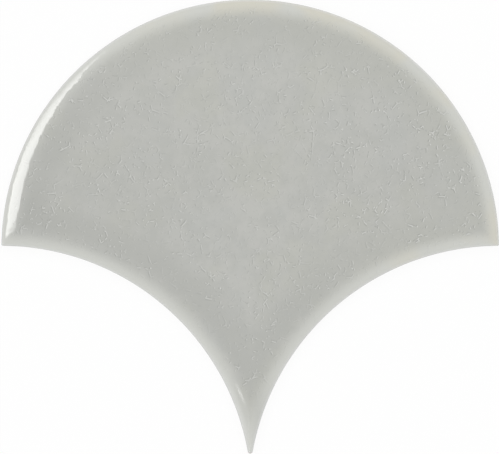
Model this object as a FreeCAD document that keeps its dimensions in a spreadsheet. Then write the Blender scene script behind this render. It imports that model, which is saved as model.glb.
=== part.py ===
"""A fish scale wall tile: a half-round top over two scooped sides that run down to a blunt tip.

Millimetres. The tile lies on its back with the glazed face up, +Z, and its tip pointing to -Y.
The face is flat and rolls down to its edge all the way round. The back has a sunken key for the adhesive.
"""

import FreeCAD
import Part
import enum
import math
import os
import Sketcher

# Driving dimensions, in millimetres and degrees.
DIMENSIONS = {
    "scale_radius": 85.0,  # half-round top edge
    "nest_clearance": 0.5,  # how much wider a scoop is than the round edge that nests in it
    "row_tuck": 0.4,  # how much nearer than one radius the rows of scales sit
    "tip_width": 1.5,  # blunt end of the tip
    "tile_thickness": 9.0,
    "roll_drop": 2.25,  # how far the face falls from its flat to the lip
    "roll_radius": 14.0,  # shallow roll of the face towards its edge
    "lip_width": 0.7,  # steep lip between the roll and the side wall, seen from above
    "lip_height": 1.25,
    "foot_bevel": 0.6,  # bevel round the back
    "key_border": 8.5,  # plain rim left round the key on the back
    "key_depth": 0.8,
    "key_pitch": 18.0,  # from rib to rib of the key
    "rib_width": 4.0,  # crest of a rib, level with the back
    "key_draft": 30.0,  # slope of the sides of the key, from upright, in degrees
    "cut_overrun": 2.0,  # how far a cutting section reaches past what it cuts
}

# Sizes that follow from the driving ones, as expressions that the features share.
SCALE_RADIUS = "dimensions.scale_radius"
SCOOP_RADIUS = "(dimensions.scale_radius + dimensions.nest_clearance)"
ROW_PITCH = "(dimensions.scale_radius - dimensions.row_tuck)"
TIP_REACH = (
    f"({ROW_PITCH} - sqrt({SCOOP_RADIUS} ^ 2"
    " - (dimensions.scale_radius - dimensions.tip_width / 2) ^ 2))"
)
LIP_TOP = "(dimensions.tile_thickness - dimensions.roll_drop)"
KEY_RADIUS = "(dimensions.scale_radius - dimensions.key_border)"
KEY_SCOOP_RADIUS = f"({SCOOP_RADIUS} + dimensions.key_border)"
RIB_COUNT = f"2 * floor({KEY_RADIUS} / dimensions.key_pitch + 0.5)"
RIB_ROOT = "(dimensions.rib_width + 2 * dimensions.key_depth * tan(dimensions.key_draft))"
FIRST_RIB = f"(0.5 - {RIB_COUNT} / 2) * dimensions.key_pitch"

SKETCH_NORMAL = FreeCAD.Vector(0, 0, 1)


class Spot(enum.IntEnum):
    """The point of a line or an arc that a constraint takes."""

    START = 1
    END = 2
    CENTRE = 3


class Axis(enum.IntEnum):
    """A sketch's own axes, as its constraints number them."""

    LEVEL = -1
    UPRIGHT = -2


START, END, CENTRE = Spot
ORIGIN = (Axis.LEVEL, START)

doc = FreeCAD.newDocument("FishScaleTile")


def make_sheet():
    """The spreadsheet that holds each driving dimension under its own alias."""
    made = doc.addObject("Spreadsheet::Sheet", "dimensions")
    for row, (name, value) in enumerate(DIMENSIONS.items(), start=1):
        made.set(f"A{row}", name)
        made.set(f"B{row}", str(value))
        made.setAlias(f"B{row}", name)
    doc.recompute()
    return made


sheet = make_sheet()


def size(expression):
    """The number that an expression gives with the sheet's present values."""
    return float(sheet.evalExpression(expression))


def origin_feature(body, role):
    """One of a body's own origin planes or axes, by its role."""
    return next(f for f in body.Origin.OriginFeatures if f.Role == role)


def new_sketch(body, name, plane_role, shift=None):
    """An empty sketch on one of the body's origin planes, moved by an expression for each axis in shift."""
    sketch = body.newObject("Sketcher::SketchObject", name)
    sketch.AttachmentSupport = [(origin_feature(body, plane_role), "")]
    sketch.MapMode = "FlatFace"
    for axis, expression in (shift or {}).items():
        sketch.setExpression(f"AttachmentOffset.Base.{axis}", expression)
    doc.recompute()
    return sketch


def point(across, up):
    """A point of a sketch's own plane."""
    return FreeCAD.Vector(across, up, 0)


def bind(sketch, kind, *places, to):
    """Adds a dimension to a sketch and ties its value to an expression."""
    index = sketch.addConstraint(Sketcher.Constraint(kind, *places, size(to)))
    sketch.setExpression(f"Constraints[{index}]", to)


def hold(sketch, kind, *places):
    """Adds a constraint that has no size, such as Vertical or Tangent."""
    sketch.addConstraint(Sketcher.Constraint(kind, *places))


def draw_lines(sketch, corners):
    """Straight lines from corner to corner, each upright or level, in one chain. Returns their numbers."""
    lines = []
    for a, b in zip(corners, corners[1:]):
        line = sketch.addGeometry(Part.LineSegment(point(*a), point(*b)))
        hold(sketch, "Vertical" if a[0] == b[0] else "Horizontal", line)
        if lines:
            hold(sketch, "Coincident", lines[-1], END, line, START)
        lines.append(line)
    return lines


def draw_arc(sketch, centre, radius, *leans):
    """An arc between two angles from upright, which count towards +X. Returns its number."""
    turns = sorted(math.pi / 2 - lean for lean in leans)
    circle = Part.Circle(point(*centre), SKETCH_NORMAL, radius)
    return sketch.addGeometry(Part.ArcOfCircle(circle, *turns))


def draw_circle(sketch, centre, radius):
    """A circle whose radius is tied to an expression. Returns its number."""
    circle = sketch.addGeometry(Part.Circle(point(*centre), SKETCH_NORMAL, size(radius)))
    bind(sketch, "Radius", circle, to=radius)
    return circle


def draw_edge(sketch, wall, outward):
    """The tile's edge in section, from its foot on the back, up the wall and over the lip to the flat face.

    wall is the expression for the wall's distance from the sketch's upright axis. outward is 1 where the
    tile lies on the axis side of its wall, and -1 where it lies beyond it.
    Returns, for its first and its last point, the line or arc, which of its ends, and the place.
    """
    top = size("dimensions.tile_thickness")
    bevel = size("dimensions.foot_bevel")
    roll = size("dimensions.roll_radius")
    lean = math.acos(1 - size("dimensions.roll_drop") / roll)
    wall_at = size(wall)
    wall_top = size(LIP_TOP) - size("dimensions.lip_height")
    foot = (wall_at - outward * bevel, 0)
    lip_at = wall_at - outward * size("dimensions.lip_width")
    brow = (lip_at - outward * roll * math.sin(lean), top)

    bevel_line = sketch.addGeometry(Part.LineSegment(point(*foot), point(wall_at, bevel)))
    wall_line = sketch.addGeometry(Part.LineSegment(point(wall_at, bevel), point(wall_at, wall_top)))
    lip_line = sketch.addGeometry(Part.LineSegment(point(wall_at, wall_top), point(lip_at, size(LIP_TOP))))
    roll_arc = draw_arc(sketch, (brow[0], top - roll), roll, 0, outward * lean)
    outer, inner = (START, END) if outward > 0 else (END, START)

    hold(sketch, "PointOnObject", bevel_line, START, Axis.LEVEL)
    hold(sketch, "Coincident", bevel_line, END, wall_line, START)
    hold(sketch, "Vertical", wall_line)
    hold(sketch, "Coincident", wall_line, END, lip_line, START)
    hold(sketch, "Coincident", lip_line, END, roll_arc, outer)
    hold(sketch, "Vertical", roll_arc, CENTRE, roll_arc, inner)
    bind(sketch, "DistanceX", bevel_line, outer, bevel_line, inner, to="dimensions.foot_bevel")
    bind(sketch, "DistanceY", bevel_line, START, bevel_line, END, to="dimensions.foot_bevel")
    bind(sketch, "DistanceX", *ORIGIN, wall_line, START, to=wall)
    bind(sketch, "DistanceX", lip_line, inner, lip_line, outer, to="dimensions.lip_width")
    bind(sketch, "DistanceY", lip_line, START, lip_line, END, to="dimensions.lip_height")
    bind(sketch, "DistanceY", *ORIGIN, lip_line, END, to=LIP_TOP)
    bind(sketch, "Radius", roll_arc, to="dimensions.roll_radius")
    bind(sketch, "DistanceY", *ORIGIN, roll_arc, inner, to="dimensions.tile_thickness")
    return (bevel_line, START, foot), (roll_arc, inner, brow)


def draw_disc_section(sketch):
    """Half the section of the round blank: the edge, closed along the back, the axis and the flat face."""
    (bevel, low_end, foot), (roll, high_end, brow) = draw_edge(sketch, SCALE_RADIUS, 1)
    back, _, face = draw_lines(sketch, [foot, (0, foot[1]), (0, brow[1]), brow])
    hold(sketch, "Coincident", bevel, low_end, back, START)
    hold(sketch, "Coincident", face, END, roll, high_end)
    hold(sketch, "PointOnObject", back, END, Axis.UPRIGHT)


def draw_cut_section(sketch, wall, clear_of_wall):
    """What is cut away beside an edge, past both faces and for the given distance from the wall."""
    (bevel, low_end, foot), (roll, high_end, brow) = draw_edge(sketch, wall, -1)
    far = size(wall) - size(clear_of_wall)
    low = foot[1] - size("dimensions.cut_overrun")
    high = brow[1] + size("dimensions.cut_overrun")
    corners = [foot, (foot[0], low), (far, low), (far, high), (brow[0], high), brow]
    drop, _, far_side, _, rise = draw_lines(sketch, corners)
    hold(sketch, "Coincident", bevel, low_end, drop, START)
    hold(sketch, "Coincident", rise, END, roll, high_end)
    bind(sketch, "DistanceY", drop, END, drop, START, to="dimensions.cut_overrun")
    bind(sketch, "DistanceY", rise, END, rise, START, to="dimensions.cut_overrun")
    bind(sketch, "DistanceX", far_side, START, bevel, END, to=clear_of_wall)


def mirror(body, feature, name):
    """Repeats a feature on the other side of the tile's middle plane."""
    other = body.newObject("PartDesign::Mirrored", name)
    other.Originals = [feature]
    other.MirrorPlane = (origin_feature(body, "YZ_Plane"), [""])
    body.Tip = other
    doc.recompute()


def make_blank(body):
    """The round blank that the scale is scooped out of."""
    section = new_sketch(body, "disc_section", "XZ_Plane")
    draw_disc_section(section)
    disc = body.newObject("PartDesign::Revolution", "disc")
    disc.Profile = section
    disc.ReferenceAxis = (section, ["V_Axis"])
    doc.recompute()


def make_scoops(body):
    """The two scooped sides, each a round cut about the middle of a scale in the row below."""
    shift = {"x": f"-{SCALE_RADIUS}", "z": ROW_PITCH}
    section = new_sketch(body, "scoop_section", "XZ_Plane", shift)
    draw_cut_section(section, SCOOP_RADIUS, SCOOP_RADIUS)
    scoop = body.newObject("PartDesign::Groove", "left_scoop")
    scoop.Profile = section
    scoop.ReferenceAxis = (section, ["V_Axis"])
    doc.recompute()
    mirror(body, scoop, "right_scoop")


def make_tip(body):
    """The blunt end of the tip, a straight cut across where the two scoops would run together."""
    wall = f"({SCALE_RADIUS} - {TIP_REACH})"
    section = new_sketch(body, "tip_section", "YZ_Plane", {"x": f"-{SCALE_RADIUS}"})
    draw_cut_section(section, wall, f"({wall} + dimensions.cut_overrun)")
    cut = body.newObject("PartDesign::Pocket", "blunt_tip")
    cut.Profile = section
    cut.Type = "ThroughAll"
    cut.Midplane = True
    doc.recompute()


def make_key_field(body):
    """The sunken field of the key, which keeps an even rim inside the tile's outline."""
    outline = new_sketch(body, "key_outline", "XY_Plane")
    circle = draw_circle(outline, (0, 0), KEY_RADIUS)
    hold(outline, "Coincident", circle, CENTRE, *ORIGIN)
    field = body.newObject("PartDesign::Pad", "key_field")
    field.Profile = outline
    field.setExpression("Length", "dimensions.key_depth")
    field.setExpression("TaperAngle", "-dimensions.key_draft")
    doc.recompute()

    outline = new_sketch(body, "key_scoop_outline", "XY_Plane")
    circle = draw_circle(outline, (-size(SCALE_RADIUS), -size(ROW_PITCH)), KEY_SCOOP_RADIUS)
    bind(outline, "DistanceX", circle, CENTRE, *ORIGIN, to=SCALE_RADIUS)
    bind(outline, "DistanceY", circle, CENTRE, *ORIGIN, to=ROW_PITCH)
    scoop = body.newObject("PartDesign::Pocket", "left_key_scoop")
    scoop.Profile = outline
    scoop.Reversed = True
    scoop.setExpression("Length", "dimensions.key_depth")
    scoop.setExpression("TaperAngle", "dimensions.key_draft")
    doc.recompute()
    mirror(body, scoop, "right_key_scoop")


def make_ribs(body, name, plane_role, axis_role):
    """One set of level ribs across the key: a single rib, repeated along an axis."""
    section = new_sketch(body, f"{name}_section", plane_role, {"x": FIRST_RIB})
    crest, root = size("dimensions.rib_width") / 2, size(RIB_ROOT) / 2
    high = size("dimensions.key_depth")
    corners = [point(-crest, 0), point(crest, 0), point(root, high), point(-root, high)]
    lines = []
    for a, b in zip(corners, corners[1:] + corners[:1]):
        lines.append(section.addGeometry(Part.LineSegment(a, b)))
    for a, b in zip(lines, lines[1:] + lines[:1]):
        hold(section, "Coincident", a, END, b, START)
    low_line, _, high_line, _ = lines
    hold(section, "PointOnObject", low_line, START, Axis.LEVEL)
    hold(section, "Symmetric", low_line, START, low_line, END, Axis.UPRIGHT)
    hold(section, "Symmetric", high_line, START, high_line, END, Axis.UPRIGHT)
    bind(section, "DistanceX", low_line, START, low_line, END, to="dimensions.rib_width")
    bind(section, "DistanceX", high_line, END, high_line, START, to=RIB_ROOT)
    bind(section, "DistanceY", *ORIGIN, high_line, START, to="dimensions.key_depth")
    rib = body.newObject("PartDesign::Pocket", f"{name}_first")
    rib.Profile = section
    rib.Type = "ThroughAll"
    rib.Midplane = True
    doc.recompute()
    ribs = body.newObject("PartDesign::LinearPattern", name)
    ribs.Originals = [rib]
    ribs.Direction = (origin_feature(body, axis_role), [""])
    ribs.Mode = "Spacing"
    ribs.setExpression("Offset", "dimensions.key_pitch")
    ribs.setExpression("Occurrences", RIB_COUNT)
    body.Tip = ribs
    doc.recompute()


def make_key():
    """What is sunk into the back: the key field with its ribs left standing."""
    body = doc.addObject("PartDesign::Body", "back_key")
    body.AllowCompound = True
    make_key_field(body)
    make_ribs(body, "long_ribs", "XZ_Plane", "X_Axis")
    make_ribs(body, "cross_ribs", "YZ_Plane", "Y_Axis")
    return body


def sink_key(body, key):
    """Sinks the key into the back."""
    cut = body.newObject("PartDesign::Boolean", "key_cut")
    cut.Type = "Cut"
    cut.setObjects([key])
    doc.recompute()


def check_objects():
    """Stops where a feature has failed or a shape is missing or unsound."""
    for item in doc.Objects:
        if {"Invalid", "Error"} & set(item.State):
            raise RuntimeError(f"{item.Label} failed: {item.State}")
        if item.isDerivedFrom("PartDesign::Feature") or item.isDerivedFrom("PartDesign::Body"):
            if item.Shape.isNull() or not item.Shape.isValid():
                raise RuntimeError(f"{item.Label} has no sound shape")


tile = doc.addObject("PartDesign::Body", "fish_scale_tile")
tile.Label = "fish_scale_tile"
make_blank(tile)
make_scoops(tile)
make_tip(tile)
sink_key(tile, make_key())
# The origin is on the back, under the middle of the tile's width and length.
tile.setExpression("Placement.Base.y", f"({TIP_REACH} - {SCALE_RADIUS}) / 2")
doc.recompute()
check_objects()

os.makedirs("parts", exist_ok=True)
tile.Shape.exportStep(f"parts/{tile.Label}.step")
print(f"{tile.Label}: {tile.Shape.Volume / 1000:.2f} cm3, {len(tile.Shape.Faces)} faces")
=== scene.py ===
"""Dresses the fish scale tile in its crackle glaze, on a plain white floor under soft light.

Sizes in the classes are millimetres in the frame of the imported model. Meshes are scaled to metres when they
are made, and the studio's own sizes are in metres.
"""

from __future__ import annotations

import enum
import functools
import logging
import math
from dataclasses import dataclass
from typing import Dict, List, Optional, Sequence, Tuple, Union

import bmesh
import bpy
import numpy as np
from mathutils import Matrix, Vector, noise
from mathutils.geometry import delaunay_2d_cdt

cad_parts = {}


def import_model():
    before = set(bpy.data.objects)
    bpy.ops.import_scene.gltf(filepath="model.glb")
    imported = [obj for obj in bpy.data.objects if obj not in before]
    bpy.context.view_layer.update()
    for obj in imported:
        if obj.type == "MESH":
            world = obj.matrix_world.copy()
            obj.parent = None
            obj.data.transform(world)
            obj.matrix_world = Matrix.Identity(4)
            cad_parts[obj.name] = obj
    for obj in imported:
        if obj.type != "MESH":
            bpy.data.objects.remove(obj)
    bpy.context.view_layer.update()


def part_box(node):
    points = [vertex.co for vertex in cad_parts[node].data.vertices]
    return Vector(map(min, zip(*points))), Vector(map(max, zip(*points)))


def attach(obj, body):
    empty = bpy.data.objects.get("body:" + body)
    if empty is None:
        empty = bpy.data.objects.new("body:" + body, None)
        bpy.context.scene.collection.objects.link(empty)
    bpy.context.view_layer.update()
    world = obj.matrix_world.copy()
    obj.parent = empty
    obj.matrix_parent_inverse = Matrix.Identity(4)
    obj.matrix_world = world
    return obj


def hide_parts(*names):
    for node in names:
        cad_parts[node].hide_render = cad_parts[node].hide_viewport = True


LOG = logging.getLogger("fish_scale_tile")

Colour = Tuple[float, float, float, float]
Step = Tuple[float, float, float]
Pairs = Tuple[Tuple[float, float], ...]

NODE = "fish_scale_tile"
BODY = "root"
METRE = 1000.0
WELD = 0.002
TINY = 1e-6
INSIDE_OUTLINES = 1
WHITE: Colour = (1.0, 1.0, 1.0, 1.0)


def colour(red: float, green: float, blue: float) -> Colour:
    """Turn a colour as it looks on a screen into the linear one that shaders take, by the sRGB curve.

    Args:
        red: Red, 0 to 255.
        green: Green, 0 to 255.
        blue: Blue, 0 to 255.

    Returns:
        The linear colour, opaque.
    """
    shares = [value / 255 for value in (red, green, blue)]
    linear = [s / 12.92 if s <= 0.04045 else ((s + 0.055) / 1.055) ** 2.4 for s in shares]
    return (linear[0], linear[1], linear[2], 1.0)


def waves(points: np.ndarray, length: float, layout: float) -> np.ndarray:
    """Give smooth random waves over the plan, the same in each run.

    Args:
        points: Places in plan, one row each.
        length: Length of a wave.
        layout: A number that picks one layout of the waves.

    Returns:
        A number from about -1 to 1 for each place.
    """
    return np.array([noise.noise(Vector((x / length, y / length, layout))) for x, y in points])


def directions(angles: Sequence[float]) -> np.ndarray:
    """Return the unit vectors at these angles, one row each."""
    return np.stack([np.cos(angles), np.sin(angles)], axis=-1)


def angles_of(vectors: np.ndarray) -> np.ndarray:
    """Return the angles of vectors in plan."""
    return np.arctan2(vectors[:, 1], vectors[:, 0])


def triangles(points: np.ndarray, outlines: List[List[int]]) -> Tuple[List[List[int]], List[List[int]]]:
    """Fill outlines with triangles over a net of points.

    Args:
        points: The points, one row each.
        outlines: The numbers of the points of each outline.

    Returns:
        The triangles, and for each of them the outlines that it lies in.
    """
    flat = [Vector(point) for point in points[:, :2]]
    found = delaunay_2d_cdt(flat, [], outlines, INSIDE_OUTLINES, TINY)
    return found[2], found[5]


@dataclass(frozen=True)
class Ramp:
    """A smooth change of one number with another.

    Attributes:
        start: Where the change starts.
        end: Where it ends.
        before: The number up to the start.
        after: The number from the end on.
    """

    start: float
    end: float
    before: float = 0.0
    after: float = 1.0

    @classmethod
    def down(cls, start: float, end: float, before: float = 1.0) -> Ramp:
        """Return a change down to 0."""
        return cls(start, end, before, 0.0)

    def of(self, values: np.ndarray) -> np.ndarray:
        """Work the change out.

        Args:
            values: The numbers that it goes with.

        Returns:
            The changed number for each of them.
        """
        share = np.clip((values - self.start) / (self.end - self.start), 0.0, 1.0)
        return self.before + (self.after - self.before) * share * share * (3 - 2 * share)


class Finish(enum.IntEnum):
    """The tile's two surfaces, by material slot."""

    GLAZE = 0
    BARE = 1


class Lights(enum.Enum):
    """What a lamp lights."""

    SURFACES = "surfaces"
    REFLECTIONS = "reflections"


class Measure(enum.Enum):
    """What is measured of a place on the tile."""

    X = "place along X"
    Y = "place along Y"
    HEIGHT = "height"
    DEPTH = "depth in from the outline"
    CORNER = "towards the upper right"
    # Painted light: the pool is painted paler along this, towards the lit right and top.
    PALING = "towards the pale side of the pool"
    SIDE = "towards the two sides"
    EDGE = "depth, taken as less at the upper right"


class Signal:
    """A shader socket that works in sums: each sum adds the node that works it out."""

    def __init__(self, bench: Bench, socket: bpy.types.NodeSocket) -> None:
        """Keep the socket and the bench that makes its nodes."""
        self.bench = bench
        self.socket = socket

    def __add__(self, other: Number) -> Signal:
        """Return this plus other."""
        return self.bench.maths("ADD", self, other)

    def __radd__(self, other: Number) -> Signal:
        """Return other plus this."""
        return self.bench.maths("ADD", other, self)

    def __sub__(self, other: Number) -> Signal:
        """Return this less other."""
        return self.bench.maths("SUBTRACT", self, other)

    def __rsub__(self, other: Number) -> Signal:
        """Return other less this."""
        return self.bench.maths("SUBTRACT", other, self)

    def __mul__(self, other: Number) -> Signal:
        """Return this times other."""
        return self.bench.maths("MULTIPLY", self, other)

    def __rmul__(self, other: Number) -> Signal:
        """Return other times this."""
        return self.bench.maths("MULTIPLY", other, self)

    def __pow__(self, other: Number) -> Signal:
        """Return this to the power of other."""
        return self.bench.maths("POWER", self, other)

    def __abs__(self) -> Signal:
        """Return this without its sign."""
        return self.bench.maths("ABSOLUTE", self)

    def least(self, other: Number) -> Signal:
        """Return the lesser of this and other."""
        return self.bench.maths("MINIMUM", self, other)

    def most(self, other: Number) -> Signal:
        """Return the greater of this and other."""
        return self.bench.maths("MAXIMUM", self, other)

    def along(self, ramp: Ramp) -> Signal:
        """Change smoothly with this.

        Args:
            ramp: The change.

        Returns:
            What it gives for this.
        """
        settings = {"interpolation_type": "SMOOTHSTEP"}
        sockets = {"From Min": ramp.start, "From Max": ramp.end, "To Min": ramp.before, "To Max": ramp.after}
        return self.bench.node("ShaderNodeMapRange", settings, {"Value": self, **sockets})


Number = Union[Signal, float]
Value = Union[Signal, float, Sequence[float]]
Measures = Dict[Measure, Signal]
Bound = Tuple[Measure, Ramp]


class Bench:
    """Makes the nodes of one tree."""

    def __init__(self, tree: bpy.types.NodeTree) -> None:
        """Start with an empty tree."""
        self.tree = tree
        tree.nodes.clear()

    def node(
        self,
        kind: str,
        settings: Optional[Dict[str, object]] = None,
        sockets: Optional[Dict[Union[str, int], Value]] = None,
        output: Union[str, int] = 0,
    ) -> Signal:
        """Make a node of any kind.

        Args:
            kind: The node's type.
            settings: Its properties, which are set first.
            sockets: Values or links for its inputs, by name or number.
            output: The output to hand on.

        Returns:
            The node's output.
        """
        made = self.tree.nodes.new(kind)
        for name, setting in (settings or {}).items():
            setattr(made, name, setting)
        for key, value in (sockets or {}).items():
            if isinstance(value, Signal):
                self.tree.links.new(value.socket, made.inputs[key])
            else:
                made.inputs[key].default_value = value
        return Signal(self, made.outputs[output])

    def close(self, kind: str, shader: Signal) -> None:
        """Send a shader to the tree's output node of this kind."""
        self.tree.links.new(shader.socket, self.tree.nodes.new(kind).inputs["Surface"])

    def maths(self, operation: str, *values: Number) -> Signal:
        """Make a Math node on these values."""
        return self.node("ShaderNodeMath", {"operation": operation}, dict(enumerate(values)))

    def moved(self, place: Value, by: Value) -> Signal:
        """Return a vector moved by another."""
        return self.node("ShaderNodeVectorMath", {"operation": "ADD"}, {0: place, 1: by})

    def scaled(self, vector: Value, by: Number) -> Signal:
        """Return a vector times a number."""
        return self.node("ShaderNodeVectorMath", {"operation": "SCALE"}, {0: vector, "Scale": by})

    def stretched(self, vector: Value, by: Value) -> Signal:
        """Return a vector times another, part by part."""
        return self.node("ShaderNodeVectorMath", {"operation": "MULTIPLY"}, {0: vector, 1: by})

    def parts(self, vector: Signal) -> List[Signal]:
        """Return the three parts of a vector or a colour."""
        node = self.node("ShaderNodeSeparateXYZ", {}, {0: vector}).socket.node
        return [Signal(self, output) for output in node.outputs]

    def mix(self, first: Value, second: Value, share: Number) -> Signal:
        """Blend two colours.

        Args:
            first: The colour at a share of 0.
            second: The colour at a share of 1.
            share: How much of the second.

        Returns:
            The blended colour.
        """
        return self.node("ShaderNodeMix", {"data_type": "RGBA"}, {0: share, 6: first, 7: second}, 2)

    def cloud(self, place: Signal, size: float, detail: float = 2.0, output: str = "Fac") -> Signal:
        """Make noise over a place in millimetres.

        Args:
            place: Where on the surface.
            size: Size of the largest patches.
            detail: How many finer layers it has.
            output: Fac for one number, Color for three.

        Returns:
            The noise, about 0.5 on average.
        """
        sockets = {"Vector": place, "Scale": 1 / size, "Detail": detail}
        return self.node("ShaderNodeTexNoise", {}, sockets, output)

    def cells(self, place: Signal, size: float, feature: str, output: str) -> Signal:
        """Make a flat pattern of irregular cells, by X and Y.

        Args:
            place: Where in the pattern, in millimetres.
            size: Size of a cell.
            feature: What is measured, such as the distance to a cell's edge.
            output: The output to hand on.

        Returns:
            The measure, in cells where it is a distance.
        """
        sockets = {"Vector": place, "Scale": 1 / size}
        settings = {"feature": feature, "voronoi_dimensions": "2D"}
        return self.node("ShaderNodeTexVoronoi", settings, sockets, output)

    def place(self) -> Signal:
        """Return the place on the object, in millimetres."""
        return self.scaled(self.node("ShaderNodeTexCoord", {}, {}, "Object"), METRE)

    def relief(self, height: Signal) -> Signal:
        """Return the normal of a surface with a relief given in millimetres."""
        return self.node("ShaderNodeBump", {}, {"Height": height, "Distance": 1 / METRE, "Strength": 1.0})

    def seen_rays(self) -> Signal:
        """Tell the rays that look from those that carry light.

        Returns:
            1 for what the camera, gloss and glass look at, and 0 for the rest.
        """
        rays = self.node("ShaderNodeLightPath").socket.node.outputs
        names = ("Is Camera Ray", "Is Glossy Ray", "Is Transmission Ray")
        camera, glossy, transmission = [Signal(self, rays[name]) for name in names]
        return camera.most(glossy).most(transmission)


def new_material(name: str) -> Tuple[bpy.types.Material, Bench]:
    """Make an empty material.

    Args:
        name: Its name.

    Returns:
        The material and the bench for its nodes.
    """
    material = bpy.data.materials.new(name)
    material.use_nodes = True
    return material, Bench(material.node_tree)


@dataclass(frozen=True)
class Rim:
    """Lines that cross the tile's edge, each square to the outline, in order round it.

    Attributes:
        feet: Where each line starts on the outline.
        inward: Its direction.
        reach: How far in it runs before it meets the line from another edge.
        rounded: Whether it starts on a rounded corner.
    """

    feet: np.ndarray
    inward: np.ndarray
    reach: np.ndarray
    rounded: np.ndarray

    @classmethod
    def arc(
        cls,
        centre: np.ndarray,
        radius: float,
        angles: np.ndarray,
        reach: Union[float, np.ndarray],
        hollow: bool = False,
        rounded: bool = False,
    ) -> Rim:
        """Make the lines of one round stretch of the outline.

        Args:
            centre: The arc's centre.
            radius: Its radius.
            angles: Where on the arc the lines start.
            reach: How far in each of them runs.
            hollow: Whether the tile lies outside the arc.
            rounded: Whether the arc rounds off a corner.

        Returns:
            The lines, in the order of the angles.
        """
        outward = directions(angles)
        count = len(angles)
        inward = outward if hollow else -outward
        return cls(centre + radius * outward, inward, np.full(count, 1.0) * reach, np.full(count, rounded))

    @classmethod
    def joined(cls, stretches: Sequence[Rim]) -> Rim:
        """Return several stretches as one."""
        names = ("feet", "inward", "reach", "rounded")
        return cls(*(np.concatenate([getattr(s, name) for s in stretches]) for name in names))

    def mirrored(self) -> Rim:
        """Mirror the right half.

        Returns:
            The left half, without the two lines on the axis, back to front.
        """
        flip = np.array([-1.0, 1.0])
        inner = slice(-2, 0, -1)
        return Rim(self.feet[inner] * flip, self.inward[inner] * flip, self.reach[inner], self.rounded[inner])

    def at(self, depths: np.ndarray) -> np.ndarray:
        """Return the places in plan at a depth along each line."""
        return self.feet + self.inward * np.asarray(depths)[..., None]

    def loop(self, depth: float) -> np.ndarray:
        """Find the lines that reach a depth, with one line for each mitre.

        Args:
            depth: How far in the loop lies.

        Returns:
            The numbers of the lines, in order.
        """
        places = self.at(np.full(len(self.feet), depth))
        far = [i for i in range(len(self.feet)) if self.reach[i] > depth - WELD]
        apart = [np.hypot(*(places[i] - places[j])) > WELD for i, j in zip(far, far[-1:] + far[:-1])]
        return np.array(far)[apart]


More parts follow.
